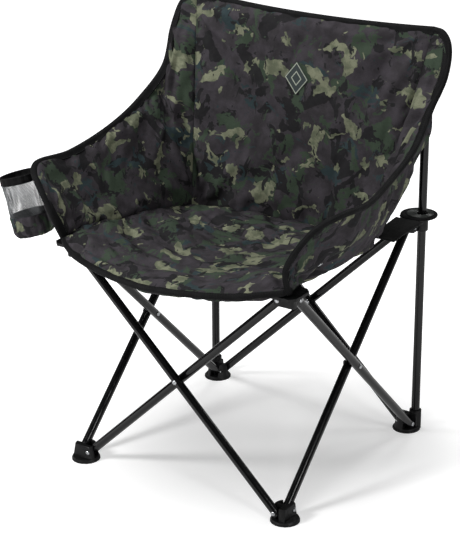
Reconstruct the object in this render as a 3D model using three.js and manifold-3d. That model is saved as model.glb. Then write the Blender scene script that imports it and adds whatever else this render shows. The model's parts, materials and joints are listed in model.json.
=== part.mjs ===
// A folding bucket chair: four crossed pairs of steel tubes on four feet, two straight rear posts,
// and a padded seat of five fabric panels hung between the front hubs and the post tops.
// Millimetres, +Z up, front towards -Y. The chair stands open, and its origin is the middle of
// the floor area that it covers.

import * as THREE from "three";
import { mergeVertices } from "three/addons/utils/BufferGeometryUtils.js";
import Module from "manifold-3d";

const wasm = await Module();
wasm.setup();

// Frame
const footSpacing = 500; // between neighbouring corners of the square that the frame stands on
const tubeDiameter = 18;
const tubeWall = 1.2;
const linkGap = 1; // between the two crossed tubes of a side
const pivotInset = 18; // from a corner line to the pivot of a tube
const footPivotHeight = 20;
const hubPivotHeight = 468;
const tubeOverhang = 8; // tube beyond its end pivot
const postTopHeight = 876;
const clearance = 0.3; // between touching pieces
const pinDiameter = 5;
const pinHeadDiameter = 10;
const pinHeadHeight = 2.4;

// Feet and hubs
const earWall = 4;
const knuckleRadius = 28;
const knuckleOuterReach = 6; // from the corner line to the flat that carries a pin head
const footBaseRadius = 30;
const footPlateThickness = 7;
const footBodyHeight = 34;
const footCrownRadius = 22;
const hubPlateRadius = 29;
const hubPlateThickness = 6;
const frontPlateInner = 31; // from its middle, towards the chair's middle
const frontPlateOuter = 37;
const frontPlateCut = 11; // off its corners
const hubBodyHeight = 30;
const hubCrownRadius = 24;
const hubPlateRise = 19; // from the hub pivots to the top of the plate
const plateOffset = 4; // from a corner towards the middle of the chair, along X and along Y
const socketWall = 3.7;
const socketHeight = 42;
const sleeveHeight = 32;
const plateBevel = 4;

// Seat
const backHeight = 888;
const backTopSag = 3;
const backTopHalfWidth = 284;
const backTopBow = 30; // how far forward the middle of the top edge lies of its ends
const wingHalfWidth = 340;
const cornerReach = 262; // from the middle to the fabric's front corner, along X and along Y
const cornerHeight = 494.6;
const seatFrontBow = 112;
const seatFrontHeight = 484;
const seatRearDepth = 182;
const seatRearHeight = 441;
const seatDip = 16;
const panelEdge = 8;
const panelCrown = 22;
const bindingDiameter = 14;
const creaseGap = 3; // between the two parts of the seat base
const wingBulge = 12;
const seamInset = 6; // from a seam line to the edge of a panel beside it
const foldDepth = 2.5;
const plateRest = 48; // how far around a front hub's middle the fabric lies level on its plate
const plateFade = 50; // over which the fabric leaves that level

// Fittings
const buttonDiameter = 34;
const buttonThickness = 4;
const buttonStem = 9;
const tabDiameter = 78;
const tabInset = 5; // its middle from the post, towards the middle of the chair
const tabThickness = 4;
const strapWidth = 66;
const strapThickness = 3;
const strapSetback = 7; // its end behind the seat's rear corner
const strapRise = 22; // its end above that corner
const pocketWall = 2.5;
const pocketHeight = 90;
const badgeWidth = 56;
const badgeHeight = 70;
const badgeThickness = 1.6;
const badgeDrop = 128; // from the top edge to the middle of the badge
const cupDiameter = 88;
const cupWall = 2.4;
const cupBandHeight = 18;
const cupMeshHeight = 66;
const cupPouchHeight = 44;
const cupTopHeight = 598;
const cupDepth = -236; // along Y
const cupSag = 27; // how far the cup holder pulls the left wing's front corner down
const cupStandoff = 8; // from the rim of the wing to the band
const cupLeanDegrees = 16; // its foot leans in towards the chair
const gussetThickness = 5;
const gussetHeight = 34;
const gussetReach = 106; // from the middle of the cup towards the chair
const tongueReach = 72; // of the band, from the middle of the cup

// Resolution and working values
const tubeArcSteps = 6;
const pinSides = 8;
const plateSides = 8;
const roundSides = 18;
const rimSteps = 24;
const bindingSides = 8;
const weld = 0.0005;
const throughCut = 400; // length of a cut that runs right through
const insideReach = 25; // depth cut away behind a panel's outer face
const differenceStep = 0.004;
const strapColumns = 4;
const strapRows = 8;
const edgeRoundPower = 1.6;

// Derived frame sizes
const halfSpan = footSpacing / 2;
const tubeRadius = tubeDiameter / 2;
const linkOffset = tubeRadius + linkGap / 2;
const slotHalfWidth = tubeRadius + clearance;
const pinRadius = pinDiameter / 2;
const pinBoreRadius = pinRadius + clearance;
const hubTop = hubPivotHeight + hubPlateRise;
const postRadius = tubeRadius;
const socketRadius = postRadius + clearance + socketWall;
const bindingRadius = bindingDiameter / 2;
const buttonCentre = halfSpan - plateOffset;
const backRise = backHeight - seatRearHeight;
const creaseDepth =
  halfSpan + linkOffset - postRadius - pocketWall - 2 * clearance - panelCrown / 2;

// Places as shares: rim points from a front corner to the top corner, of wing half width, half span,
// and the rise from the fabric's front corner to the top edge
const rimShares = [
  [0.775, -1.08, 0.0],
  [0.805, -1.167, 0.147],
  [0.91, -1.135, 0.302],
  [0.979, -1.082, 0.371],
  [1.035, -0.957, 0.402],
  [1.033, -0.519, 0.383],
  [0.985, -0.045, 0.416],
  [0.969, 0.344, 0.501],
  [0.94, 0.652, 0.639],
  [0.965, 0.824, 0.81],
  [0.94, 0.915, 0.94],
  [0.89, 0.944, 0.99],
];

const sagShares = [0, 0.15, 0.55, 0.9, 1, 0.92, 0.38, 0.25, 0.1, 0, 0, 0, 0]; // one for each rim point

// Side of the seat base from front to rear: of half span, half span, and the rise from the rear
// seam to the fabric's front corner
const sideShares = [
  [1.048, -1.048, 1.0],
  [1.018, -0.77, 1.14],
  [0.991, -0.451, 0.877],
  [0.973, -0.123, 0.784],
  [0.941, 0.198, 0.522],
  [0.889, 0.447, 0.224],
];
const creaseShare = 0.74; // where the seat base folds, from its front edge to its rear seam
const wingStartShare = 0.03; // where a wing begins behind its front hub
const wingEndShare = 0.996; // where it ends at the top corner
const wingFoldsShare = 3.5; // waves along a wing
const crownFalloffShare = 0.45;
const strapTurnShare = 0.32; // how far a strap's end lies outside the seat's corner, of its width
const strapTaperShare = 0.85; // width of a strap's end
const domeShoulderShare = 0.7; // of a pin head's radius
const domeRiseShare = 0.8; // of a pin head's height

const materials = {
  steel: new THREE.MeshStandardMaterial({ color: 0x17181a, roughness: 0.42, metalness: 0.6 }),
  plastic: new THREE.MeshStandardMaterial({ color: 0x141415, roughness: 0.55, metalness: 0 }),
  rivet: new THREE.MeshStandardMaterial({ color: 0xb9bcc0, roughness: 0.3, metalness: 1 }),
  fabric: new THREE.MeshStandardMaterial({ color: 0x3f4238, roughness: 0.85, metalness: 0 }),
  binding: new THREE.MeshStandardMaterial({ color: 0x111112, roughness: 0.8, metalness: 0 }),
  mesh: new THREE.MeshStandardMaterial({ color: 0x8f9396, roughness: 0.7, metalness: 0 }),
};

// Solids

function solidOf(geometry) {
  const bare = geometry.clone();
  bare.deleteAttribute("normal");
  bare.deleteAttribute("uv");
  const merged = mergeVertices(bare, weld);
  return new wasm.Manifold(
    new wasm.Mesh({
      numProp: 3,
      vertProperties: new Float32Array(merged.attributes.position.array),
      triVerts: new Uint32Array(merged.index.array),
    }),
  );
}

function geometryOf(solid) {
  const mesh = solid.getMesh();
  const geometry = new THREE.BufferGeometry();
  geometry.setAttribute("position", new THREE.BufferAttribute(mesh.vertProperties, mesh.numProp));
  geometry.setIndex(new THREE.BufferAttribute(mesh.triVerts, 1));
  geometry.computeVertexNormals();
  return geometry;
}

function cylinder(radius, height, sides, topRadius = radius) {
  return new THREE.CylinderGeometry(topRadius, radius, height, sides).rotateX(Math.PI / 2);
}

// A cylinder that stands on z = base
function standing(radius, height, sides, base, topRadius = radius) {
  return cylinder(radius, height, sides, topRadius).translate(0, 0, base + height / 2);
}

function box(x0, x1, y0, y1, z0, z1) {
  const geometry = new THREE.BoxGeometry(x1 - x0, y1 - y0, z1 - z0);
  return geometry.translate((x0 + x1) / 2, (y0 + y1) / 2, (z0 + z1) / 2);
}

function hollowTube(radius, wall, length) {
  const section = new THREE.Shape().absarc(0, 0, radius, 0, 2 * Math.PI, false);
  section.holes.push(new THREE.Path().absarc(0, 0, radius - wall, 0, 2 * Math.PI, true));
  return new THREE.ExtrudeGeometry(section, {
    depth: length,
    bevelEnabled: false,
    curveSegments: tubeArcSteps,
  });
}

function roundTube(curve, radius, steps, sides) {
  const section = new THREE.Shape();
  for (let side = 0; side < sides; side += 1) {
    const angle = (2 * Math.PI * side) / sides;
    const corner = [radius * Math.cos(angle), radius * Math.sin(angle)];
    if (side === 0) section.moveTo(...corner);
    else section.lineTo(...corner);
  }
  section.closePath();
  return new THREE.ExtrudeGeometry(section, { steps, extrudePath: curve, bevelEnabled: false });
}

function joined(first, ...rest) {
  return rest.reduce((sum, geometry) => sum.add(solidOf(geometry)), solidOf(first));
}

function cut(solid, ...cutters) {
  return cutters.reduce((left, geometry) => left.subtract(solidOf(geometry)), solid);
}

// Corner pieces: built for the front right corner with the corner itself at the origin, so that
// inwards is -X and +Y, then turned to the other corners

const cornerNames = ["front_right", "rear_right", "rear_left", "front_left"];
const sideNames = ["front", "right", "back", "left"];

function toCorner(geometry, index) {
  return geometry.translate(halfSpan, -halfSpan, 0).rotateZ((index * Math.PI) / 2);
}

// A square plate with cut corners, for the front right corner
function cornerPlate(height, base, grow) {
  const low = -frontPlateInner - grow;
  const high = frontPlateOuter + grow;
  const shape = new THREE.Shape();
  shape.moveTo(low + frontPlateCut, -high);
  shape.lineTo(high - frontPlateCut, -high);
  shape.lineTo(high, frontPlateCut - high);
  shape.lineTo(high, -low - frontPlateCut);
  shape.lineTo(high - frontPlateCut, -low);
  shape.lineTo(low + frontPlateCut, -low);
  shape.lineTo(low, -low - frontPlateCut);
  shape.lineTo(low, frontPlateCut - high);
  shape.closePath();
  const plate = new THREE.ExtrudeGeometry(shape, { depth: height, bevelEnabled: false });
  return plate.translate(0, 0, base);
}

// The block between two tubes: its plate lies on z = 0, its slots open upwards, and the tubes
// turn on pins at pivotHeight
function knuckle(sizes) {
  const { plateRadius, plateThickness, sides, pivotHeight } = sizes;
  const { bodyHeight, crownRadius, collar, bore, square } = sizes;
  const centre = -plateOffset;
  const plate = standing(plateRadius, plateThickness, sides, 0, plateRadius - plateBevel / 2);
  const foot = standing(plateRadius, plateThickness - plateBevel, sides, 0);
  const crown = standing(knuckleRadius, bodyHeight, roundSides, 0, crownRadius);
  const turn = Math.PI / sides;
  let block = joined(foot.rotateZ(turn), crown);
  if (collar === 0) block = block.add(solidOf(plate.rotateZ(turn)));
  if (square) block = block.add(solidOf(cornerPlate(plateThickness, 0, 0)));
  block = block.translate([centre, -centre, 0]);
  const trimSide = box(
    knuckleOuterReach + pinHeadHeight,
    throughCut,
    -throughCut,
    throughCut,
    plateThickness,
    throughCut,
  );
  const trimFront = box(
    -throughCut,
    throughCut,
    -throughCut,
    -linkOffset - slotHalfWidth,
    plateThickness,
    throughCut,
  );
  block = cut(block, trimSide, trimFront);
  if (collar > 0) {
    const ring = standing(socketRadius, collar, roundSides, 0);
    block = block.add(solidOf(ring.translate(linkOffset, -linkOffset, 0)));
  }
  const slotBack = -pivotInset + slotHalfWidth + earWall;
  const outerSlot = box(
    -throughCut,
    slotBack,
    -linkOffset - slotHalfWidth,
    -linkOffset + slotHalfWidth,
    plateThickness,
    throughCut,
  );
  const innerSlot = box(
    -linkOffset - slotHalfWidth,
    -linkOffset + slotHalfWidth,
    -slotBack,
    throughCut,
    plateThickness,
    throughCut,
  );
  const outerBore = cylinder(pinBoreRadius, throughCut, pinSides)
    .rotateX(Math.PI / 2)
    .translate(-pivotInset, 0, pivotHeight);
  const innerBore = cylinder(pinBoreRadius, throughCut, pinSides)
    .rotateY(Math.PI / 2)
    .translate(0, pivotInset, pivotHeight);
  block = cut(block, outerSlot, innerSlot, outerBore, innerBore);
  if (bore) {
    const hole = standing(postRadius + clearance, throughCut, roundSides, bore.from);
    block = cut(block, hole.translate(linkOffset, -linkOffset, 0));
  }
  return block;
}

// A hub is the same block turned over about the corner's diagonal
function turnedOver(geometry) {
  const diagonal = new THREE.Vector3(1, -1, 0).normalize();
  geometry.applyMatrix4(new THREE.Matrix4().makeRotationAxis(diagonal, Math.PI));
  return geometry.translate(0, 0, hubTop);
}

// A rivet along +Z from z = 0, with a domed head below it and, if asked for, one at its end
function pin(length, headAtEnd) {
  const headRadius = pinHeadDiameter / 2;
  const shoulder = headRadius * domeShoulderShare;
  const profile = [
    [0, -pinHeadHeight],
    [shoulder, -pinHeadHeight * domeRiseShare],
    [headRadius, 0],
    [pinRadius, 0],
    [pinRadius, length],
  ];
  if (headAtEnd) {
    profile.push([headRadius, length], [shoulder, length + pinHeadHeight * domeRiseShare]);
    profile.push([0, length + pinHeadHeight]);
  } else {
    profile.push([0, length]);
  }
  const points = profile.map(([radius, height]) => new THREE.Vector2(radius, height));
  return new THREE.LatheGeometry(points, pinSides).rotateX(Math.PI / 2);
}

// The pin of the tube that lies along X at a foot, and of the tube that lies along Y
const outerFlat = -linkOffset - tubeRadius - clearance;
const outerPinLength = -linkOffset + slotHalfWidth + earWall - clearance - outerFlat;
const innerFlat = knuckleOuterReach + pinHeadHeight + clearance;
const innerPinLength = innerFlat + linkOffset + slotHalfWidth + earWall;

function outerPin(pivotHeight) {
  const geometry = pin(outerPinLength, false);
  return geometry.rotateX(-Math.PI / 2).translate(-pivotInset, outerFlat, pivotHeight);
}

function innerPin(pivotHeight) {
  const geometry = pin(innerPinLength, false);
  return geometry.rotateY(-Math.PI / 2).translate(innerFlat, pivotInset, pivotHeight);
}

const chair = new THREE.Group();

function addPiece(name, geometry, material) {
  const piece = new THREE.Mesh(geometry, material);
  piece.name = name;
  chair.add(piece);
  return piece;
}

// Feet, hubs and their pins

const hasPost = [false, true, true, false];

function footSolid(rear) {
  return knuckle({
    plateRadius: footBaseRadius,
    plateThickness: footPlateThickness,
    sides: roundSides,
    pivotHeight: footPivotHeight,
    bodyHeight: footBodyHeight,
    crownRadius: footCrownRadius,
    collar: rear ? socketHeight : 0,
    bore: rear ? { from: footPlateThickness / 2 } : null,
    square: false,
  });
}

function hubSolid(rear) {
  return knuckle({
    plateRadius: hubPlateRadius,
    plateThickness: hubPlateThickness,
    sides: plateSides,
    pivotHeight: hubPlateRise,
    bodyHeight: hubBodyHeight,
    crownRadius: hubCrownRadius,
    collar: rear ? sleeveHeight : 0,
    bore: rear ? { from: -throughCut / 2 } : null,
    square: !rear,
  });
}

cornerNames.forEach((corner, index) => {
  const rear = hasPost[index];
  const foot = geometryOf(footSolid(rear));
  const hub = turnedOver(geometryOf(hubSolid(rear)));
  addPiece(`foot_${corner}`, toCorner(foot, index), materials.plastic);
  addPiece(`hub_${corner}`, toCorner(hub, index), materials.plastic);
  const pins = {
    foot_pin_outer: outerPin(footPivotHeight),
    foot_pin_inner: innerPin(footPivotHeight),
    hub_pin_outer: turnedOver(outerPin(hubPlateRise)),
    hub_pin_inner: turnedOver(innerPin(hubPlateRise)),
  };
  for (const [kind, geometry] of Object.entries(pins)) {
    addPiece(`${kind}_${corner}`, toCorner(geometry, index), materials.rivet);
  }
});

// Crossed tubes: built for the front side, then turned to the other three

const pivotReach = halfSpan - pivotInset;
const linkRise = hubPivotHeight - footPivotHeight;
const linkLength = Math.hypot(2 * pivotReach, linkRise);
const linkTilt = Math.atan2(linkRise, 2 * pivotReach);
const crossHeight = (hubPivotHeight + footPivotHeight) / 2;

function linkGeometry(depth, lean) {
  const length = linkLength + 2 * tubeOverhang;
  const tube = hollowTube(tubeRadius, tubeWall, length).translate(0, 0, -length / 2);
  const bores = [-linkLength / 2, 0, linkLength / 2].map((along) =>
    cylinder(pinBoreRadius, throughCut, pinSides).rotateX(Math.PI / 2).translate(0, 0, along),
  );
  const drilled = geometryOf(cut(solidOf(tube), ...bores));
  return drilled.rotateY(lean * (Math.PI / 2 - linkTilt)).translate(0, depth, crossHeight);
}

sideNames.forEach((side, index) => {
  const turn = (index * Math.PI) / 2;
  const outer = linkGeometry(-halfSpan - linkOffset, -1).rotateZ(turn);
  const inner = linkGeometry(-halfSpan + linkOffset, 1).rotateZ(turn);
  const rivetLength = 2 * (linkOffset + tubeRadius + clearance);
  const rivet = pin(rivetLength, true)
    .rotateX(-Math.PI / 2)
    .translate(0, -halfSpan - rivetLength / 2, crossHeight)
    .rotateZ(turn);
  addPiece(`${side}_tube_outer`, outer, materials.steel);
  addPiece(`${side}_tube_inner`, inner, materials.steel);
  addPiece(`${side}_cross_rivet`, rivet, materials.rivet);
});

// Rear posts

const postPlace = halfSpan + linkOffset;
const postFoot = footPlateThickness / 2 + clearance;
for (const [side, sign] of [["left", -1], ["right", 1]]) {
  const post = hollowTube(postRadius, tubeWall, postTopHeight - postFoot);
  addPiece(`post_${side}`, post.translate(sign * postPlace, postPlace, postFoot), materials.steel);
}

// Seat surfaces, on the middle of the padding

function placed(shares, xSize, ySize, zBase, zRise) {
  return shares.map(([x, y, z]) => new THREE.Vector3(x * xSize, y * ySize, zBase + z * zRise));
}

const rimHalf = placed(rimShares, wingHalfWidth, halfSpan, cornerHeight, backHeight - cornerHeight);
const topCorner = new THREE.Vector3(backTopHalfWidth, creaseDepth, backHeight);
rimHalf.push(topCorner);
const wingRim = new THREE.CatmullRomCurve3(rimHalf, false, "centripetal");
const sunkHalf = rimHalf.map((point, index) => {
  const drop = new THREE.Vector3(0, 0, cupSag * sagShares[index]);
  return point.clone().sub(drop);
});
const sunkRim = new THREE.CatmullRomCurve3(sunkHalf, false, "centripetal");
const sideRise = cornerHeight - seatRearHeight;
const sidePoints = placed(sideShares, halfSpan, halfSpan, seatRearHeight, sideRise);
const baseSide = new THREE.CatmullRomCurve3(sidePoints, false, "centripetal");

function roundShare(across) {
  return (1 - Math.abs(across) ** edgeRoundPower) ** (1 / edgeRoundPower);
}

// Lifts a point on to the level of a front hub's plate near that hub
function restOnPlate(point) {
  const away = Math.hypot(Math.abs(point.x) - buttonCentre, point.y + buttonCentre);
  const share = THREE.MathUtils.clamp(1 - (away - plateRest) / plateFade, 0, 1);
  const eased = share * share * (3 - 2 * share);
  point.z = THREE.MathUtils.lerp(point.z, Math.max(point.z, cornerHeight), eased);
  return point;
}

// across runs from -1 at the left side to 1 at the right, along from 0 at the front to 1
function basePoint(across, along) {
  const side = baseSide.getPoint(along);
  const round = roundShare(across);
  const middleDepth = THREE.MathUtils.lerp(-cornerReach - seatFrontBow, seatRearDepth, along);
  const dip = seatDip * Math.sin(Math.PI * along);
  const middleHeight = THREE.MathUtils.lerp(seatFrontHeight, seatRearHeight, along) - dip;
  const point = new THREE.Vector3(
    across * side.x,
    THREE.MathUtils.lerp(side.y, middleDepth, round),
    THREE.MathUtils.lerp(side.z, middleHeight, round),
  );
  return restOnPlate(point);
}

function topEdgePoint(across) {
  const round = 1 - across * across;
  return new THREE.Vector3(
    across * backTopHalfWidth,
    creaseDepth - backTopBow * round,
    backHeight - backTopSag * round,
  );
}

function backPoint(across, up) {
  return basePoint(across, 1).lerp(topEdgePoint(across), up);
}

// The share of the way from low to high that leaves the seam between two panels free
function seamShare(low, high) {
  return Math.min(seamInset / low.distanceTo(high), 1 / 2);
}

function wingPoint(sign, along, up) {
  const low = basePoint(1, along);
  const high = (sign > 0 ? wingRim : sunkRim).getPoint(along);
  const point = low.clone().lerp(high, THREE.MathUtils.lerp(seamShare(low, high), 1, up));
  const swell = 4 * up * (1 - up) * Math.sin(Math.PI * along);
  const wave = Math.sin(2 * Math.PI * wingFoldsShare * along);
  point.x += swell * (wingBulge + foldDepth * wave);
  point.z -= (swell * wingBulge) / 2;
  point.x *= sign;
  return point;
}

// Evenly turned places across a panel whose ends curve steeply
function spread(u) {
  return Math.sin((u - 1 / 2) * Math.PI);
}

function crownHalf(u, v) {
  const swell = (16 * u * (1 - u) * v * (1 - v)) ** crownFalloffShare;
  return panelEdge / 2 + ((panelCrown - panelEdge) / 2) * swell;
}

// A closed pad around a surface; half is its depth on each side of the surface, side is 1 on the
// side that the sitter touches, and grow makes it larger all round
function pad(surface, columns, rows, half, grow = 0) {
  const positions = [];
  for (const side of [1, -1]) {
    for (let row = 0; row <= rows; row += 1) {
      for (let column = 0; column <= columns; column += 1) {
        const u = column / columns;
        const v = row / rows;
        const point = surface(u, v);
        const uNext = Math.min(u + differenceStep, 1);
        const vNext = Math.min(v + differenceStep, 1);
        const along = surface(uNext, v).sub(surface(uNext - differenceStep, v)).normalize();
        const across = surface(u, vNext).sub(surface(u, vNext - differenceStep)).normalize();
        const normal = along.clone().cross(across).normalize();
        point.addScaledVector(normal, side * (half(u, v, side) + grow));
        if (column === 0) point.addScaledVector(along, -grow);
        if (column === columns) point.addScaledVector(along, grow);
        if (row === 0) point.addScaledVector(across, -grow);
        if (row === rows) point.addScaledVector(across, grow);
        positions.push(point.x, point.y, point.z);
      }
    }
  }
  const faces = [];
  const width = columns + 1;
  const other = width * (rows + 1);
  const quad = (a, b, c, d) => faces.push(a, b, c, a, c, d);
  for (let row = 0; row < rows; row += 1) {
    for (let column = 0; column < columns; column += 1) {
      const a = row * width + column;
      quad(a, a + 1, a + 1 + width, a + width);
      quad(a + other + width, a + 1 + other + width, a + 1 + other, a + other);
    }
  }
  for (let column = 0; column < columns; column += 1) {
    const top = rows * width + column;
    quad(column + other, column + 1 + other, column + 1, column);
    quad(top, top + 1, top + 1 + other, top + other);
  }
  for (let row = 0; row < rows; row += 1) {
    const first = row * width;
    const last = first + columns;
    quad(first, first + width, first + width + other, first + other);
    quad(last + other, last + width + other, last + width, last);
  }
  const geometry = new THREE.BufferGeometry();
  geometry.setAttribute("position", new THREE.Float32BufferAttribute(positions, 3));
  geometry.setIndex(faces);
  return geometry;
}

const creaseHalf = creaseGap / (2 * (cornerReach + seatFrontBow + seatRearDepth));
const panels = {
  seat_base_front: {
    surface: (u, v) => basePoint(spread(u), v * (creaseShare - creaseHalf)),
    columns: 16,
    rows: 10,
  },
  seat_base_rear: {
    surface: (u, v) =>
      basePoint(spread(u), THREE.MathUtils.lerp(creaseShare + creaseHalf, 1, v)),
    columns: 16,
    rows: 4,
  },
  wing_right: {
    surface: (u, v) => wingPoint(1, THREE.MathUtils.lerp(wingEndShare, wingStartShare, u), v),
    columns: 20,
    rows: 8,
  },
  wing_left: {
    surface: (u, v) => wingPoint(-1, THREE.MathUtils.lerp(wingStartShare, wingEndShare, u), v),
    columns: 20,
    rows: 8,
  },
  back_panel: {
    surface: (u, v) => {
      const across = spread(u) * (1 - seamInset / backTopHalfWidth);
      return backPoint(across, THREE.MathUtils.lerp(seamInset / backRise, 1, v));
    },
    columns: 14,
    rows: 12,
  },
};

function panelSolid(name, grow = 0) {
  const { surface, columns, rows } = panels[name];
  return solidOf(pad(surface, columns, rows, crownHalf, grow));
}

// A panel with its clearance and the space on the sitter's side of it, which nothing sewn to its
// outer face may reach
function panelInside(name) {
  const { surface, columns, rows } = panels[name];
  const half = (u, v, side) => (side > 0 ? insideReach : crownHalf(u, v));
  return solidOf(pad(surface, columns, rows, half, clearance));
}

// Rim bindings: one curve along each wing, one over the top and one along the front

function topEdgeCurve() {
  const points = [];
  for (let step = 0; step <= rimSteps; step += 1) {
    points.push(topEdgePoint(spread(step / rimSteps)));
  }
  return new THREE.CatmullRomCurve3(points, false, "centripetal");
}

function frontEdgeCurve() {
  const points = [];
  for (let step = 0; step <= rimSteps; step += 1) {
    points.push(basePoint(spread(step / rimSteps), 0));
  }
  return new THREE.CatmullRomCurve3(points, false, "centripetal");
}

function mirrored(points) {
  return points.map((point) => new THREE.Vector3(-point.x, point.y, point.z));
}

const leftRim = new THREE.CatmullRomCurve3(mirrored(sunkHalf), false, "centripetal");
const bindingCurves = {
  binding_right: wingRim,
  binding_left: leftRim,
  binding_top: topEdgeCurve(),
  binding_front: frontEdgeCurve(),
};

function bindingSolid(name, grow = 0) {
  const tube = roundTube(bindingCurves[name], bindingRadius + grow, rimSteps, bindingSides);
  return solidOf(tube);
}

function endCap(point, radius) {
  return solidOf(new THREE.SphereGeometry(radius, bindingSides, bindingSides)).translate([
    point.x,
    point.y,
    point.z,
  ]);
}

// The space that a hub's plate takes up, with its clearance
function plateRoom(xSign, ySign) {
  const radius = hubPlateRadius + clearance;
  const height = hubPlateThickness + clearance;
  const base = hubTop - hubPlateThickness;
  const round = standing(radius, height, 2 * roundSides, base);
  const square = cornerPlate(height, base, clearance).rotateZ(((xSign - 1) * Math.PI) / 4);
  const space = ySign > 0 ? round : square;
  return space.translate(xSign * buttonCentre, ySign * buttonCentre, 0);
}

// Front buttons clamp the fabric on the hub plates

function buttonSolid(sign, grow = 0) {
  const top = cornerHeight + bindingRadius + clearance;
  const stem = standing(buttonStem / 2 + grow, top - hubTop, roundSides / 2, hubTop + clearance);
  const disc = standing(buttonDiameter / 2 + grow, buttonThickness, roundSides, top, buttonStem);
  return joined(stem, disc).translate([sign * buttonCentre, -buttonCentre, 0]);
}

const buttons = { left: buttonSolid(-1), right: buttonSolid(1) };
for (const side of ["left", "right"]) {
  addPiece(`button_front_${side}`, geometryOf(buttons[side]), materials.plastic);
}

// Cup holder on the outside of the left wing

const cupRadius = cupDiameter / 2;
const cupX = -(wingHalfWidth + bindingRadius + cupStandoff + cupRadius);
const bandBase = cupTopHeight - cupBandHeight;
const meshBase = bandBase - clearance - cupMeshHeight;
const pouchBase = meshBase - clearance - cupPouchHeight;

function cupWallSolid(radius, base, height, floor) {
  const outside = standing(radius, height, roundSides, base);
  const inside = standing(radius - cupWall, throughCut, roundSides, base + floor);
  return cut(solidOf(outside), inside);
}

function gusset(top) {
  const half = gussetThickness / 2;
  return box(cupRadius - cupWall, gussetReach, -half, half, top - gussetHeight, top);
}

function cupPieces() {
  const band = cupWallSolid(cupRadius, bandBase, cupBandHeight, -throughCut / 2);
  const half = cupBandHeight / 2;
  const tongue = box(cupRadius - cupWall, tongueReach, -half, half, bandBase, cupTopHeight);
  const mesh = cupWallSolid(cupRadius - cupWall / 2, meshBase, cupMeshHeight, -throughCut / 2);
  const pouch = cupWallSolid(cupRadius, pouchBase, cupPouchHeight, cupWall);
  return {
    cup_band: band.add(solidOf(tongue)),
    cup_mesh: mesh,
    cup_pouch: pouch.add(solidOf(gusset(pouchBase + cupPouchHeight))),
  };
}

// Sewn pieces, each cut back from what it meets

const sewn = {};
const room = {
  binding_right: bindingSolid("binding_right", clearance),
  binding_left: bindingSolid("binding_left", clearance),
  binding_top: bindingSolid("binding_top", clearance),
  binding_front: bindingSolid("binding_front", clearance),
  button_left: buttonSolid(-1, clearance),
  button_right: buttonSolid(1, clearance),
};
const capRadius = bindingRadius + clearance;
room.top_corner_left = endCap(mirrored([topCorner])[0], capRadius);
room.top_corner_right = endCap(topCorner, capRadius);
sewn.binding_right = bindingSolid("binding_right");
sewn.binding_left = bindingSolid("binding_left");
sewn.binding_top = bindingSolid("binding_top")
  .subtract(room.binding_right)
  .subtract(room.binding_left)
  .subtract(room.top_corner_left)
  .subtract(room.top_corner_right);
sewn.binding_front = bindingSolid("binding_front")
  .subtract(room.binding_right)
  .subtract(room.binding_left);
for (const name of Object.keys(sewn)) {
  sewn[name] = sewn[name].subtract(room.button_left).subtract(room.button_right);
}

const panelOrder = ["seat_base_front", "seat_base_rear", "wing_right", "wing_left", "back_panel"];
for (const name of panelOrder) {
  let panel = cut(panelSolid(name), plateRoom(-1, -1), plateRoom(1, -1));
  for (const solid of Object.values(room)) panel = panel.subtract(solid);
  sewn[name] = panel;
}
for (const name of panelOrder) room[name] = panelSolid(name, clearance);
const insides = { left: panelInside("wing_left"), right: panelInside("wing_right") };

// Pockets on the back that hold the post tops

for (const [side, sign] of [["left", -1], ["right", 1]]) {
  const inner = postRadius + clearance;
  const top = postTopHeight + clearance + pocketWall;
  const shell = standing(inner + pocketWall, pocketHeight, roundSides, top - pocketHeight);
  const hole = standing(inner, pocketHeight, roundSides, top - pocketWall - pocketHeight);
  let pocket = cut(solidOf(shell), hole).translate([sign * postPlace, postPlace, 0]);
  for (const solid of Object.values(room)) pocket = pocket.subtract(solid);
  sewn[`pocket_${side}`] = pocket;
}

// Round tabs that sit on the rear hubs, and the straps from them to the seat's rear corners

const cornerRear = basePoint(1, 1);
const tabPlace = postPlace - tabInset;
for (const [side, sign] of [["left", -1], ["right", 1]]) {
  const tabBase = hubTop + clearance;
  const disc = standing(tabDiameter / 2, tabThickness, roundSides, tabBase);
  const hole = standing(postRadius + clearance, throughCut, roundSides, tabBase - throughCut / 2);
  disc.translate(sign * tabPlace, tabPlace, 0);
  sewn[`hub_tab_${side}`] = cut(solidOf(disc), hole.translate(sign * postPlace, postPlace, 0));
  const start = new THREE.Vector3(
    tabPlace,
    tabPlace - tabDiameter / 2 + clearance,
    tabBase + tabThickness / 2,
  );
  const end = cornerRear.clone();
  end.x += strapWidth * strapTurnShare;
  end.y += strapSetback;
  end.z += strapRise;
  const strapSurface = (u, v) => {
    const point = start.clone().lerp(end, v);
    point.x += (u - 1 / 2) * strapWidth * THREE.MathUtils.lerp(1, strapTaperShare, v);
    point.x *= sign;
    return point;
  };
  const half = () => strapThickness / 2;
  let strap = solidOf(pad(strapSurface, strapColumns, strapRows, half));
  const tabRoom = standing(
    tabDiameter / 2 + clearance,
    tabThickness + 2 * clearance,
    roundSides,
    tabBase - clearance,
  ).translate(sign * tabPlace, tabPlace, 0);
  strap = cut(strap, tabRoom, plateRoom(sign, 1));
  strap = strap.subtract(insides[side]).subtract(room.seat_base_rear).subtract(room.back_panel);
  sewn[`strap_rear_${side}`] = strap;
}

// Cup holder, sewn to the left wing

for (const [name, solid] of Object.entries(cupPieces())) {
  sewn[name] = solid
    .translate([0, 0, -cupTopHeight])
    .rotate([0, -cupLeanDegrees, 0])
    .translate([cupX, cupDepth, cupTopHeight])
    .subtract(insides.left)
    .subtract(room.binding_left)
    .subtract(room.binding_front)
    .subtract(room.seat_base_front);
}

// Diamond badge on the front face of the back panel

const badgeAcross = badgeWidth / (2 * backTopHalfWidth);
const badgeUp = badgeHeight / backRise;
const badgeMiddleUp = 1 - badgeDrop / backRise;

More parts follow.
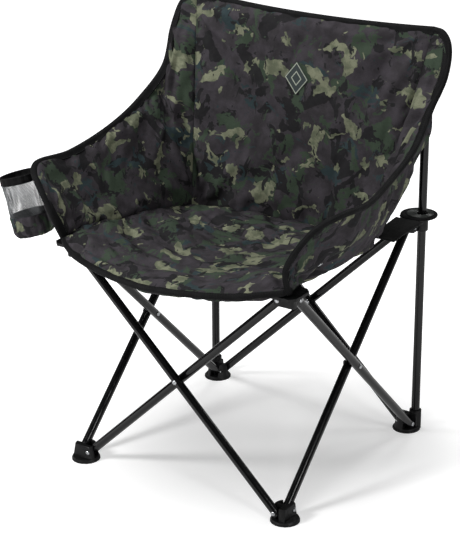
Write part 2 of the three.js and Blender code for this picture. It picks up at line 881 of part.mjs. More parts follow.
function badgeSurface(u, v) {
  const across = (u - v) * badgeAcross;
  const up = badgeMiddleUp + ((u + v - 1) * badgeUp) / 2;
  const point = backPoint(across, up);
  const side = backPoint(across + differenceStep, up).sub(point).normalize();
  const rise = backPoint(across, up + differenceStep).sub(point).normalize();
  const normal = side.cross(rise).normalize();
  const panelHalf = crownHalf(Math.asin(across) / Math.PI + 1 / 2, up);
  return point.addScaledVector(normal, panelHalf + clearance + badgeThickness / 2);
}

sewn.badge = solidOf(pad(badgeSurface, 4, 4, () => badgeThickness / 2)).subtract(room.back_panel);

const sewnMaterials = {
  binding_right: materials.binding,
  binding_left: materials.binding,
  binding_top: materials.binding,
  binding_front: materials.binding,
  hub_tab_left: materials.binding,
  hub_tab_right: materials.binding,
  strap_rear_left: materials.binding,
  strap_rear_right: materials.binding,
  pocket_left: materials.binding,
  pocket_right: materials.binding,
  cup_band: materials.binding,
  cup_mesh: materials.mesh,
  badge: materials.binding,
};
for (const [name, solid] of Object.entries(sewn)) {
  addPiece(name, geometryOf(solid), sewnMaterials[name] ?? materials.fabric);
}

// The origin is the middle of the box around the chair, on the floor
const bounds = new THREE.Box3().setFromObject(chair);
const middle = bounds.getCenter(new THREE.Vector3());
chair.position.set(-middle.x, -middle.y, 0);
chair.updateMatrixWorld(true);

export default chair;
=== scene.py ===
import json
import math

import bmesh
import bpy
import numpy as np
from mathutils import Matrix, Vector, noise
from mathutils.bvhtree import BVHTree


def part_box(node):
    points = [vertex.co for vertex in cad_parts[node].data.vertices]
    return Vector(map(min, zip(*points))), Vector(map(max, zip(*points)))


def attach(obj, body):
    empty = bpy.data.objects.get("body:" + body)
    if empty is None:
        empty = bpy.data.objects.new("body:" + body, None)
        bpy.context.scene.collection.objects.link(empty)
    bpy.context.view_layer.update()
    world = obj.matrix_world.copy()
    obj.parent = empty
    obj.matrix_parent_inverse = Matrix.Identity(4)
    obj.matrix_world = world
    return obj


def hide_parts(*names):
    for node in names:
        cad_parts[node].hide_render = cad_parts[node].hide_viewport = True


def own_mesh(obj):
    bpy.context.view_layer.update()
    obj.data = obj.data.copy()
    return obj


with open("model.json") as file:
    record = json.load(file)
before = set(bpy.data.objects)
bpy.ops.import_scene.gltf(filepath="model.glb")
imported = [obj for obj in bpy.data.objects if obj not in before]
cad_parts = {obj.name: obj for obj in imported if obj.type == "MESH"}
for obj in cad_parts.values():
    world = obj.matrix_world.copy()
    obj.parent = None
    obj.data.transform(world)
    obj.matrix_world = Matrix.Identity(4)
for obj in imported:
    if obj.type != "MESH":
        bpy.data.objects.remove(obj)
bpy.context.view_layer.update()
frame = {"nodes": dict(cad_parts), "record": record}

# A folding bucket chair: the fabric, its trim, the cup holder and the finished frame pieces.
# Metres. Shapes are worked out about the middle of the frame's square, then moved by ORIGIN.

scene = bpy.context.scene


def middle(node):
    low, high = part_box(node)
    return (low + high) / 2


# Driving sizes, as the frame has them
MM = 0.001
POST_PLACE = (middle("post_right").x - middle("post_left").x) / 2
ORIGIN = Vector((
    (middle("post_right").x + middle("post_left").x) / 2,
    middle("post_right").y - POST_PLACE,
    0,
))
LINK_OFFSET = 9.5 * MM
HALF_SPAN = POST_PLACE - LINK_OFFSET
TUBE_RADIUS = 9 * MM
TUBE_WALL = 1.2 * MM
TUBE_DEPTH = 14 * MM  # how far a tube's bore is open
PIVOT_INSET = 18 * MM
FOOT_PIVOT = 20 * MM
HUB_PIVOT = 468 * MM
TUBE_OVERHANG = 8 * MM
PLATE_OFFSET = 4 * MM
HUB_TOP = 487 * MM

BACK_HEIGHT = 888 * MM
BACK_TOP_SAG = 3 * MM
BACK_TOP_HALF_WIDTH = 284 * MM
BACK_TOP_BOW = 30 * MM
WING_HALF_WIDTH = 340 * MM
CORNER_REACH = 262 * MM
CORNER_HEIGHT = 494.6 * MM
SEAT_FRONT_BOW = 112 * MM
SEAT_FRONT_HEIGHT = 484 * MM
SEAT_REAR_DEPTH = 182 * MM
SEAT_REAR_HEIGHT = 441 * MM
SEAT_DIP = 16 * MM
PANEL_EDGE = 8 * MM
PANEL_CROWN = 22 * MM
WING_BULGE = 12 * MM
CREASE_DEPTH = POST_PLACE - 23.1 * MM
PLATE_REST = 48 * MM  # the seat lies on a hub plate so far from the button, then slopes off
PLATE_FADE = 50 * MM
BUTTON_CENTRE = HALF_SPAN - PLATE_OFFSET
FOLD_TRAVEL = 426.8 * MM  # how far the corners come together

TAB_RADIUS = 39 * MM
TAB_INSET = 5 * MM
TAB_HOLE = TUBE_RADIUS + 0.5 * MM
TAB_THICKNESS = 4 * MM
BADGE_WIDTH = 56 * MM
BADGE_HEIGHT = 70 * MM
BADGE_DROP = 128 * MM
CUP_RADIUS = 44 * MM
CUP_SIDES = 18
CUP_PLACE = (-399 * MM, -236 * MM, 598 * MM)
CUP_LEAN = math.radians(16)
CUP_SAG = 27 * MM
CUP_BAND = 18 * MM
CUP_NET = 66 * MM
CUP_POUCH = 44 * MM
NET_THREADS = 90  # each way round
NET_TWIST = 1.15

RIM_SHARES = [
    (0.775, -1.08, 0.0), (0.805, -1.167, 0.147), (0.91, -1.135, 0.302), (0.979, -1.082, 0.371),
    (1.035, -0.957, 0.402), (1.033, -0.519, 0.383), (0.985, -0.045, 0.416),
    (0.969, 0.344, 0.501), (0.94, 0.652, 0.639), (0.965, 0.824, 0.81), (0.94, 0.915, 0.94),
    (0.89, 0.944, 0.99),
]
SIDE_SHARES = [
    (1.048, -1.048, 1.0), (1.018, -0.77, 1.14), (0.991, -0.451, 0.877), (0.973, -0.123, 0.784),
    (0.941, 0.198, 0.522), (0.889, 0.447, 0.224),
]
SAG_SHARES = [0, 0.15, 0.55, 0.9, 1, 0.92, 0.38, 0.25, 0.1, 0, 0, 0, 0]
CREASE_SHARE = 0.74
FINE_STEPS = 400
SIDES = (("left", -1), ("right", 1))

# Camera: the photograph's angle
AZIMUTH = math.radians(33.186)
ELEVATION = math.radians(21.802)
DISTANCE = 3.998
AIM_HEIGHT = 0.375
LENS = 131.03
SHIFT_X = -0.03527
SHIFT_Y = 0.02204


def add_camera():
    data = bpy.data.cameras.new("camera")
    data.lens = LENS
    data.shift_x = SHIFT_X
    data.shift_y = SHIFT_Y
    camera = bpy.data.objects.new("camera", data)
    scene.collection.objects.link(camera)
    back = Vector((
        math.sin(AZIMUTH) * math.cos(ELEVATION),
        -math.cos(AZIMUTH) * math.cos(ELEVATION),
        math.sin(ELEVATION),
    ))
    aim = ORIGIN + Vector((0, 0, AIM_HEIGHT))
    camera.location = aim + back * DISTANCE
    camera.rotation_euler = back.to_track_quat("Z", "Y").to_euler()
    scene.camera = camera


add_camera()


# Curves and surfaces of the seat

def lerp(low, high, share):
    return low + (high - low) * share


def eased(share):
    """A share from 0 to 1 that starts and ends gently."""
    return share * share * (3 - 2 * share)


def unit(vectors):
    """The same directions with a length of 1."""
    return vectors / np.linalg.norm(vectors, axis=-1, keepdims=True).clip(1e-9)


def stacked(*values):
    """Points from their separate values; a single number serves for all of them."""
    return np.stack(np.broadcast_arrays(*values), -1)


def distances(points, axis=0):
    """How far each point lies along its line, from the line's start."""
    steps = np.linalg.norm(np.diff(points, axis=axis), axis=-1)
    return np.insert(np.cumsum(steps, axis=axis), 0, 0, axis=axis)


def at_distance(line, length, wanted):
    """The places on a line, whose points lie at the distances length, that are so far along."""
    return stacked(*(np.interp(wanted, length, values) for values in line.T))


def noise_at(x, y, z):
    """Smooth noise from about -1 to 1."""
    return noise.noise(Vector((x, y, z)))


def spline(points, share):
    """A centripetal Catmull-Rom curve through points, at share from 0 to 1."""
    points = np.asarray(points, float)
    count = len(points) - 1
    scaled = np.clip(np.asarray(share, float), 0, 1) * count
    index = np.minimum(scaled.astype(int), count - 1)
    part = (scaled - index)[..., None]
    padded = np.vstack([2 * points[0] - points[1], points, 2 * points[-1] - points[-2]])
    p0, p1, p2, p3 = (padded[index + step] for step in range(4))
    d0, d1, d2 = (
        np.sqrt(np.linalg.norm(b - a, axis=-1, keepdims=True))
        for a, b in ((p0, p1), (p1, p2), (p2, p3))
    )
    m1 = ((p1 - p0) / d0 - (p2 - p0) / (d0 + d1) + (p2 - p1) / d1) * d1
    m2 = ((p2 - p1) / d1 - (p3 - p1) / (d1 + d2) + (p3 - p2) / d2) * d1
    square = -3 * p1 + 3 * p2 - 2 * m1 - m2
    cube = 2 * p1 - 2 * p2 + m1 + m2
    return p1 + m1 * part + square * part**2 + cube * part**3


RIM = [
    (x * WING_HALF_WIDTH, y * HALF_SPAN, lerp(CORNER_HEIGHT, BACK_HEIGHT, z))
    for x, y, z in RIM_SHARES
] + [(BACK_TOP_HALF_WIDTH, CREASE_DEPTH, BACK_HEIGHT)]
SUNK_RIM = [(x, y, z - CUP_SAG * share) for (x, y, z), share in zip(RIM, SAG_SHARES)]
SIDE = [
    (x * HALF_SPAN, y * HALF_SPAN, lerp(SEAT_REAR_HEIGHT, CORNER_HEIGHT, z))
    for x, y, z in SIDE_SHARES
]


def round_share(across):
    return (1 - np.abs(across) ** 1.6).clip(0) ** (1 / 1.6)


def base_point(across, along):
    """The seat base: across from -1 at the left side to 1, along from 0 at the front to 1."""
    side = spline(SIDE, along)
    rounding = round_share(across)
    depth = lerp(-CORNER_REACH - SEAT_FRONT_BOW, SEAT_REAR_DEPTH, along)
    height = lerp(SEAT_FRONT_HEIGHT, SEAT_REAR_HEIGHT, along) - SEAT_DIP * np.sin(math.pi * along)
    x = across * side[..., 0]
    y = lerp(side[..., 1], depth, rounding)
    z = lerp(side[..., 2], height, rounding)
    away = np.hypot(np.abs(x) - BUTTON_CENTRE, y + BUTTON_CENTRE)
    near = (1 - (away - PLATE_REST) / PLATE_FADE).clip(0, 1)
    return stacked(x, y, lerp(z, np.maximum(z, CORNER_HEIGHT), eased(near)))


def top_edge(across):
    rounding = 1 - across * across
    return stacked(across * BACK_TOP_HALF_WIDTH, CREASE_DEPTH - BACK_TOP_BOW * rounding,
                   BACK_HEIGHT - BACK_TOP_SAG * rounding)


def back_point(across, up):
    return lerp(base_point(across, np.ones_like(across)), top_edge(across), up[..., None])


def wing_point(along, up, rim):
    """A wing, as on the right: along from its front hub to the post, up from seat to rim."""
    low = base_point(np.ones_like(along), along)
    point = lerp(low, spline(rim, along), up[..., None])
    swell = 4 * up * (1 - up) * np.sin(math.pi * along)
    point[..., 0] += swell * WING_BULGE
    point[..., 2] -= swell * WING_BULGE / 2
    return point


def even(surface, columns, rows):
    """Points on a surface, in rows whose columns lie evenly apart."""
    u = (np.sin((np.linspace(0, 1, FINE_STEPS) - 0.5) * math.pi) + 1) / 2
    grid = []
    for v in np.linspace(0, 1, rows + 1):
        line = surface(u, np.full(FINE_STEPS, v))
        length = distances(line)
        grid.append(at_distance(line, length, np.linspace(0, length[-1], columns + 1)))
    return np.array(grid)


# Materials

COAT_ROUGHNESS = 0.06


def srgb(red, green, blue):
    """A linear colour from the 0 to 255 values that it shows as."""
    def linear(value):
        value /= 255
        return value / 12.92 if value <= 0.04045 else ((value + 0.055) / 1.055) ** 2.4
    return (linear(red), linear(green), linear(blue), 1)


class Nodes:
    """A node tree, with short ways to add the nodes that all kinds of tree share."""

    def __init__(self, owner):
        owner.use_nodes = True
        self.tree = owner.node_tree

    def node(self, kind, values=(), **settings):
        node = self.tree.nodes.new(kind)
        for key, value in settings.items():
            setattr(node, key, value)
        for key, value in dict(values).items():
            self.feed(node.inputs[key], value)
        return node

    def feed(self, socket, value):
        if isinstance(value, bpy.types.NodeSocket):
            self.tree.links.new(value, socket)
        else:
            socket.default_value = value

    def math(self, operation, first, second):
        return self.node("ShaderNodeMath", {0: first, 1: second}, operation=operation).outputs[0]

    def vector_math(self, operation, first, second):
        return self.node("ShaderNodeVectorMath", {0: first, 1: second}, operation=operation)

    def between(self, value, low, high, to_low=0.0, to_high=1.0):
        node = self.node("ShaderNodeMapRange", {
            "Value": value, "From Min": low, "From Max": high, "To Min": to_low,
            "To Max": to_high,
        }, interpolation_type="SMOOTHSTEP")
        return node.outputs["Result"]


class Finish(Nodes):
    """A material, with short ways to add the textures that it is made of."""

    def __init__(self, name, roughness, metallic=0.0, specular=0.5, coat=0.0):
        self.material = bpy.data.materials.new(name)
        super().__init__(self.material)
        self.shader = self.tree.nodes["Principled BSDF"]
        values = {"Roughness": roughness, "Metallic": metallic, "Specular IOR Level": specular}
        if coat:
            values.update({"Coat Weight": coat, "Coat Roughness": COAT_ROUGHNESS})
        for key, value in values.items():
            self.shader.inputs[key].default_value = value

    def place(self):
        """Where a point lies in the flat cloth."""
        return self.node("ShaderNodeAttribute", attribute_name="cloth").outputs["Vector"]

    def surface(self):
        return self.node("ShaderNodeTexCoord").outputs["Object"]

    def moved(self, vector, offset, scale=(1, 1, 1)):
        mapping = self.node("ShaderNodeMapping", {
            "Vector": vector, "Location": offset, "Scale": scale,
        })
        return mapping.outputs["Vector"]

    def speckle(self, vector, scale, detail=2.0, rough=0.5, distortion=0.0):
        return self.node("ShaderNodeTexNoise", {
            "Vector": vector, "Scale": scale, "Detail": detail, "Roughness": rough,
            "Distortion": distortion,
        })

    def noise(self, *settings):
        return self.speckle(*settings).outputs["Fac"]

    def mixed(self, share, first, second):
        node = self.node("ShaderNodeMix", data_type="RGBA")
        for key, value in (("Factor", share), ("A", first), ("B", second)):
            self.feed(node.inputs[key], value)
        return node.outputs["Result"]

    def warped(self, vector, scale, amount):
        """A place pushed aside by noise of that scale, by up to half the amount."""
        push = self.speckle(vector, scale, 3.0).outputs["Color"]
        shift = self.vector_math("SUBTRACT", push, (0.5, 0.5, 0.5))
        sized = self.node("ShaderNodeVectorMath", {"Scale": amount}, operation="SCALE")
        self.feed(sized.inputs[0], shift.outputs["Vector"])
        return self.vector_math("ADD", vector, sized.outputs["Vector"]).outputs["Vector"]

    def waves(self, vector, axis, pitch):
        """Bands across an axis, pi times the pitch apart."""
        node = self.node("ShaderNodeTexWave", {"Vector": vector, "Scale": 1 / (10 * pitch)},
                         bands_direction=axis)
        return node.outputs["Fac"]

    def bump(self, height, strength, distance, below=None):
        node = self.node("ShaderNodeBump", {"Height": height, "Strength": strength,
                                            "Distance": distance})
        if below is not None:
            self.feed(node.inputs["Normal"], below)
        return node.outputs["Normal"]

    def finish(self, colour=None, normal=None, rough=None):
        for key, value in (("Base Color", colour), ("Normal", normal), ("Roughness", rough)):
            if value is not None:
                self.feed(self.shader.inputs[key], value)
        return self.material


def camouflage():
    """Printed cloth: on a charcoal ground, patches that each cover what lies below them."""
    made = Finish("camouflage_fabric", 0.88, specular=0.2)
    place = made.place()
    bent = made.warped(place, 20, 0.05)
    torn = made.warped(made.warped(place, 14, 0.085), 60, 0.016)
    thorny = made.warped(made.moved(place, (8.3, 6.1, 0), (1, 0.6, 1)), 30, 0.03)
    olive = made.mixed(made.between(made.noise(place, 60, 3), 0.4, 0.6),
                       srgb(96, 101, 82), srgb(124, 127, 105))
    colour = made.mixed(made.between(made.noise(place, 40, 4), 0.35, 0.65),
                        srgb(50, 47, 50), srgb(63, 59, 64))
    for spots, settings, edge, patch in (
        (made.moved(place, (3.1, 7.7, 0)), (17, 4, 0.55, 0.6), (0.55, 0.565), srgb(31, 30, 32)),
        (made.moved(bent, (11.3, 2.9, 0), (0.8, 1.2, 1)), (17, 5, 0.6, 0.8), (0.6, 0.612),
         srgb(45, 58, 61)),
        (made.moved(bent, (5.2, 1.4, 0)), (16, 5, 0.65, 0.5), (0.56, 0.572), srgb(56, 68, 55)),
        (made.moved(torn, (0.7, 9.6, 0)), (19, 3, 0.52), (0.588, 0.596), olive),
        (thorny, (30, 4, 0.6, 0.6), (0.615, 0.625), srgb(34, 34, 35)),
        (place, (900, 2), (0.3, 0.8, 0, 0.3), srgb(28, 28, 29)),
    ):
        colour = made.mixed(made.between(made.noise(spots, *settings), *edge), colour, patch)
    weave = made.math("ADD", made.waves(place, "X", 1.1 * MM), made.waves(place, "Y", 1.1 * MM))
    normal = made.bump(weave, 0.25, 0.00012)
    creases = made.noise(made.warped(place, 30, 0.02), 45, 5, 0.6)
    normal = made.bump(creases, 0.55, 0.004, normal)
    rough = made.between(made.noise(place, 120, 3), 0.3, 0.7, 0.82, 0.94)
    return made.finish(colour, normal, rough)


def tape(name, pitch=1.6 * MM):
    """Black woven tape with ribs across it and a raised edge."""
    made = Finish(name, 0.75, specular=0.16)
    place = made.place()
    fade = made.noise(place, 40, 4)
    colour = made.mixed(made.between(fade, 0.35, 0.7), srgb(10, 10, 11), srgb(19, 19, 20))
    ribs = made.waves(place, "X", pitch)
    lines = made.waves(place, "Y", 2.6 * MM)
    normal = made.bump(made.math("ADD", ribs, made.math("MULTIPLY", lines, 1.6)), 0.5, 0.0004)
    normal = made.bump(made.noise(place, 90, 4), 0.4, 0.0012, normal)
    return made.finish(colour, normal)


def lining():
    """Plain black nylon with fine crinkles; as the cup pouch's lining its near-black also stands
    for painted shade.
    """
    made = Finish("black_nylon", 0.6, specular=0.3)
    place = made.place()
    shade = made.noise(place, 35, 4)
    colour = made.mixed(made.between(shade, 0.35, 0.7), srgb(5, 5, 6), srgb(13, 14, 13))
    weave = made.math("ADD", made.waves(place, "X", 0.9 * MM), made.waves(place, "Y", 0.9 * MM))
    normal = made.bump(weave, 0.2, 0.0001)
    creases = made.noise(made.warped(place, 25, 0.03), 60, 5, 0.6)
    return made.finish(colour, made.bump(creases, 0.5, 0.0025, normal))


def plain(name, roughness, low, high, shade, grain, rough=None, sewn=False, **shader):
    """A material of two near tones; shade, grain and rough each start with a noise's settings."""
    made = Finish(name, roughness, **shader)
    place = made.place() if sewn else made.surface()
    share = made.noise(place, *shade[:2])
    if shade[2:]:
        share = made.between(share, *shade[2:])
    colour = made.mixed(share, srgb(*low), srgb(*high))
    normal = made.bump(made.noise(place, *grain[:2]), *grain[2:])
    if rough:
        rough = made.between(made.noise(place, *rough[:2]), *rough[2:])
    return made.finish(colour, normal, rough)


CAMOUFLAGE = camouflage()
TAPE = tape("black_tape")
WEBBING = tape("black_webbing", 2.2 * MM)
LINING = lining()
STEEL = plain("powder_coated_steel", 0.15, (5, 5, 6), (11, 11, 12), (35, 5, 0.4, 0.75),
              (700, 2, 0.16, 0.00025), (60, 4, 0.3, 0.75, 0.1, 0.2), specular=0.3, coat=0.35)
PLASTIC = plain("black_plastic", 0.4, (6, 6, 7), (15, 15, 16), (50, 4, 0.4, 0.75),
                (1500, 2, 0.25, 0.0003), (110, 4, 0.3, 0.7, 0.36, 0.56), specular=0.35)
ZINC = plain("zinc_rivet", 0.28, (205, 207, 210), (140, 141, 144), (400, 4, 0.45, 0.7),
             (400, 4, 0.2, 0.0002), (400, 4, 0.4, 0.7, 0.22, 0.45), metallic=1.0)
NET = plain("mesh_net", 0.55, (56, 58, 60), (132, 135, 138), (30, 3, 0.35, 0.7),
            (1800, 1, 0.3, 0.0002), sewn=True)
THREAD = plain("black_thread", 0.6, (12, 12, 13), (24, 24, 25), (300, 2), (2500, 1, 0.4, 0.0002))
RUBBER_SHADE, RUBBER_GRAIN = (160, 3), (1300, 2, 0.3, 0.0002)
DISC = plain("ribbed_disc", 0.42, (34, 38, 35), (50, 55, 51), RUBBER_SHADE, RUBBER_GRAIN)
BADGE_FIELD = plain("badge_rubber", 0.6, (36, 46, 47), (44, 54, 55), RUBBER_SHADE, RUBBER_GRAIN)
BADGE_LINE = plain("badge_line", 0.5, (150, 158, 142), (176, 182, 168), RUBBER_SHADE,
                   RUBBER_GRAIN)


# Meshes

def points_of(mesh):
    points = np.zeros(len(mesh.vertices) * 3)
    mesh.vertices.foreach_get("co", points)
    return points.reshape(-1, 3)


def set_points(mesh, points):
    mesh.vertices.foreach_set("co", points.ravel())
    mesh.update()


def set_cloth(mesh, cloth):
    """Keeps each vertex's place in the flat cloth, where its print and weave lie."""
    layer = mesh.attributes.new("cloth", "FLOAT_VECTOR", "POINT")
    layer.data.foreach_set("vector", np.asarray(cloth, np.float32).ravel())


def set_smooth(mesh, smooth=True):
    mesh.polygons.foreach_set("use_smooth", [smooth] * len(mesh.polygons))


def set_material(mesh, material):
    mesh.materials.clear()
    mesh.materials.append(material)


def linked(name, mesh, material):
    set_material(mesh, material)
    piece = bpy.data.objects.new(name, mesh)
    scene.collection.objects.link(piece)
    return piece


def new_piece(name, vertices, faces, material, cloth=None):
    """A piece at its place in the chair."""
    mesh = bpy.data.meshes.new(name)
    points = np.asarray(vertices, float) + np.array(ORIGIN)
    mesh.from_pydata(points.tolist(), [], faces)
    set_smooth(mesh)
    if cloth is not None:
        set_cloth(mesh, cloth)
    mesh.update()
    return linked(name, mesh, material)


def copied_piece(node, ending, material, flat_angle=None):
    """A copy of a frame piece; faces within flat_angle of each other become one."""
    mesh = bpy.data.meshes.new(f"{node}_{ending}")
    work = bmesh.new()
    work.from_mesh(frame["nodes"][node].data)
    bmesh.ops.remove_doubles(work, verts=work.verts, dist=0.01 * MM)
    if flat_angle:
        bmesh.ops.dissolve_limit(work, angle_limit=flat_angle, verts=work.verts, edges=work.edges)
    work.to_mesh(mesh)
    work.free()
    return linked(f"{node}_{ending}", mesh, material)


def turn_outwards(piece, join=0.0):
    """Joins vertices that lie closer than join, and turns all faces outwards."""
    work = bmesh.new()
    work.from_mesh(piece.data)
    if join:
        bmesh.ops.remove_doubles(work, verts=work.verts, dist=join)
    bmesh.ops.recalc_face_normals(work, faces=work.faces)
    work.to_mesh(piece.data)
    work.free()


def settle(piece):
    """Applies a piece's modifiers to its mesh."""
    graph = bpy.context.evaluated_depsgraph_get()
    made = bpy.data.meshes.new_from_object(piece.evaluated_get(graph), depsgraph=graph)
    piece.modifiers.clear()
    piece.data = made


def ring_faces(rings, sides, ends="open", first=0):
    """Faces between rings of vertices; the ends are open, capped or joined to each other."""
    faces = []
    for ring in range(rings if ends == "joined" else rings - 1):
        low, high = first + ring * sides, first + (ring + 1) % rings * sides
        for side in range(sides):
            other = (side + 1) % sides
            faces.append((low + side, low + other, high + other, high + side))
    if ends == "capped":
        last = first + (rings - 1) * sides
        faces.append(tuple(reversed(range(first, first + sides))))
        faces.append(tuple(range(last, last + sides)))
    return faces


def lathe(profile, sides, ends="open"):
    """Rings of vertices from a profile of (radius, height), and the faces between them."""
    angles = [2 * math.pi * side / sides for side in range(sides)]
    vertices = [(radius * math.cos(angle), radius * math.sin(angle), height)
                for radius, height in profile for angle in angles]
    return np.array(vertices), ring_faces(len(profile), sides, ends)


def along_axis(points, start, direction):
    """Turns points from +Z to a direction and puts them at start."""
    z = Vector(direction).normalized()
    x = z.orthogonal().normalized()
    y = z.cross(x).normalized()
    x = y.cross(z)
    turn = np.array([list(x), list(y), list(z)])
    return points @ turn + np.array(start)


def join_parts(parts):
    vertices, faces, count = [], [], 0
    for points, polygons in parts:
        vertices.append(np.asarray(points, float))
        faces += [tuple(index + count for index in polygon) for polygon in polygons]
        count += len(points)
    return np.vstack(vertices), faces


# The frame's tubes, posts, rivets and moulded blocks

HEAD_DEPTH = 3.5 * MM
DOME_HEIGHT = 2.4 * MM
DOME = [(0.0, 0.0), (0.12, 0.0), (0.3, 0.06), (0.36, 0.03), (0.62, 0.16), (0.86, 0.42),
        (0.98, 0.78), (1.0, 1.0), (0.5, 1.02)]


def turned(point, index):
    """A place on the front side turned to side index: front, right, back, left."""
    x, y, z = point
    for _ in range(index):
        x, y = -y, x
    return np.array((x, y, z))


def add_tube(node, start, end):
    """A tube with rounded lips and open ends."""
    length = np.linalg.norm(end - start)
    lip = 0.5 * MM
    inner = TUBE_RADIUS - TUBE_WALL
    profile = [(inner, TUBE_DEPTH), (inner, lip), (inner + lip, 0), (TUBE_RADIUS - lip, 0),
               (TUBE_RADIUS - 0.15 * MM, 0.15 * MM), (TUBE_RADIUS, lip)]
    rings = [(TUBE_RADIUS, share * length) for share in np.linspace(0.02, 0.98, 12)]
    mirrored = [(radius, length - height) for radius, height in reversed(profile)]
    points, faces = lathe(profile + rings + mirrored, 40, "joined")
    piece = new_piece(f"{node}_finished", along_axis(points, start, end - start), faces, STEEL)
    fit_piece(piece, node)


def body_of_node(node):
    groups = frame["record"]["behaviour"]["bodies"]
    return next(body for body, nodes in groups.items() if node in nodes)


def fit_piece(piece, node, replaced=True, squash=None):
    """Puts a piece on the body of a frame node, in that node's place or beside it."""
    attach(piece, body_of_node(node))
    if replaced:
        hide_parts(node)
    if squash:
        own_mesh(piece)


def add_tubes():
    reach = HALF_SPAN - PIVOT_INSET
    for index, side in enumerate(("front", "right", "back", "left")):
        for kind, depth, lean in (("outer", -HALF_SPAN - LINK_OFFSET, -1),
                                  ("inner", -HALF_SPAN + LINK_OFFSET, 1)):
            low = np.array((-lean * reach, depth, FOOT_PIVOT))
            high = np.array((lean * reach, depth, HUB_PIVOT))
            step = unit(high - low) * TUBE_OVERHANG
            add_tube(f"{side}_tube_{kind}", turned(low - step, index), turned(high + step, index))
    for node in ("post_left", "post_right"):
        low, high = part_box(node)
        x, y = middle(node).xy - ORIGIN.xy
        add_tube(node, np.array((x, y, low.z)), np.array((x, y, high.z)))


def add_rivets():
    """A domed head, its shank and a rolled far end for each pin of the frame."""
    for node, cad in list(frame["nodes"].items()):
        if "_pin_" not in node and "rivet" not in node:
            continue
        low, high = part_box(node)
        centre = middle(node)
        axis = max(range(3), key=lambda index: (high - low)[index])
        others = [index for index in range(3) if index != axis]
        ends = []
        for sign, end in ((-1, low[axis]), (1, high[axis])):
            near = [v.co for v in cad.data.vertices if abs(v.co[axis] - end) < HEAD_DEPTH]
            reach = max(math.hypot(*(place[i] - centre[i] for i in others)) for place in near)
            ends.append((sign, end, reach))
        radius = max(reach for _, _, reach in ends)
        shank = radius / 2
        profile = []
        for sign, end, reach in ends:
            if reach > 0.75 * radius:
                rings = [(share * radius, rise * DOME_HEIGHT) for share, rise in DOME]
            else:
                rings = [(0.0, 0.0), (0.7 * shank, 0.0), (shank, 0.4 * MM)]
            profile += [(reach, end - sign * rise) for reach, rise in rings[::-sign]]
        points, faces = lathe(profile, 28)
        start, direction = centre - ORIGIN, Vector((0, 0, 0))
        start[axis] = -ORIGIN[axis]
        direction[axis] = 1
        piece = new_piece(f"{node}_finished", along_axis(points, start, direction), faces, ZINC)
        turn_outwards(piece, 0.001 * MM)
        fit_piece(piece, node)


def add_blocks():
    """Feet, hubs and buttons with moulded round edges."""
    for node in list(frame["nodes"]):
        block = node.startswith(("foot_", "hub_")) and "_pin_" not in node and "tab" not in node
        if not block and not node.startswith("button"):
            continue
        piece = copied_piece(node, "finished", PLASTIC, math.radians(1.5))
        set_smooth(piece.data)
        bevel = piece.modifiers.new("Bevel", "BEVEL")
        bevel.width = 1.1 * MM
        bevel.segments = 3
        bevel.limit_method = "ANGLE"
        bevel.angle_limit = math.radians(32)
        bevel.harden_normals = True
        settle(piece)
        fit_piece(piece, node)


# Padded panels

# How the cloth is to be squeezed as the chair closes: fold settings that this script does not apply
SQUASH_SIDE = dict(joint="fold", axis=(1, 0, 0), anchor=(ORIGIN.x - POST_PLACE, 0, 0), keep=0.162)
SQUASH_BACK = dict(joint="fold", axis=(1, 0, 0), anchor=(ORIGIN.x - BACK_TOP_HALF_WIDTH, 0, 0),
                   keep=1 - FOLD_TRAVEL / (2 * BACK_TOP_HALF_WIDTH))
SQUASH_DEPTH = dict(joint="fold", axis=(0, 1, 0), anchor=(0, ORIGIN.y + CREASE_DEPTH, 0),
                    keep=0.107)
SQUASH_STRAP = dict(joint="fold", axis=(0, 1, 0), anchor=(0, ORIGIN.y + POST_PLACE, 0),
                    keep=0.159)

QUAD = 6 * MM
SIMULATION_FRAMES = 20
SWELL_CAP = 9 * MM
CLOTH = {
    "quality": 5, "mass": 0.25, "tension_stiffness": 12, "compression_stiffness": 12,
    "shear_stiffness": 4, "bending_stiffness": 0.4, "air_damping": 2, "use_pressure": True,
    "uniform_pressure_force": 3, "shrink_min": -0.035, "vertex_group_mass": "held",
}


def fold_depth(s, t, kinds, seed):
    """Rounded swells with sharp creases between them; each kind has its height and stretches."""
    total = 0.0
    for number, (height, stretch_s, stretch_t) in enumerate(kinds):
        bend = noise_at(s * 7, t * 7, seed + 40 + number) * 0.035
        swell = noise_at((s + bend) * stretch_s, (t - bend) * stretch_t, seed + number)
        total += height * (abs(swell) * 2.2 - 0.45)
    return total


def crown(u, v):
    swell = (16 * u * (1 - u) * v * (1 - v)).clip(0) ** 0.45
    return PANEL_EDGE / 2 + (PANEL_CROWN - PANEL_EDGE) / 2 * swell


def pull_depth(u, v, width, length, pulls, seed):
    """Folds that run out from corners of the cloth, each as (u, v, height, reach, folds)."""
    total = np.zeros_like(u)
    for number, (u0, v0, height, reach, folds) in enumerate(pulls):
        x, y = (u - u0) * width, (v - v0) * length
        far = np.hypot(x, y)
        drift = np.vectorize(lambda a, b: noise_at(a * 9, b * 9, seed + number))(x, y)
        angle = np.arctan2(np.abs(y), np.abs(x))
        fade = np.exp(-(far / reach)**2) * (far / 0.06).clip(0, 1)
        total += height * np.sin(folds * angle + 4.5 * drift) * fade
    return total


def pad_faces(columns, rows, outline):
    """The faces of two sheets with a row of vertices between their outlines."""
    sheet = (rows + 1) * (columns + 1)
    faces = []
    for row in range(rows):
        for column in range(columns):
            a = row * (columns + 1) + column
            b = a + columns + 1
            faces.append((a, a + 1, b + 1, b))
            faces.append((a + sheet, b + sheet, b + 1 + sheet, a + 1 + sheet))
    for number, a in enumerate(outline):
        after = (number + 1) % len(outline)
        b, rim_a, rim_b = outline[after], 2 * sheet + number, 2 * sheet + after
        faces.append((b, a, rim_a, rim_b))
        faces.append((rim_b, rim_a, a + sheet, b + sheet))
    return faces


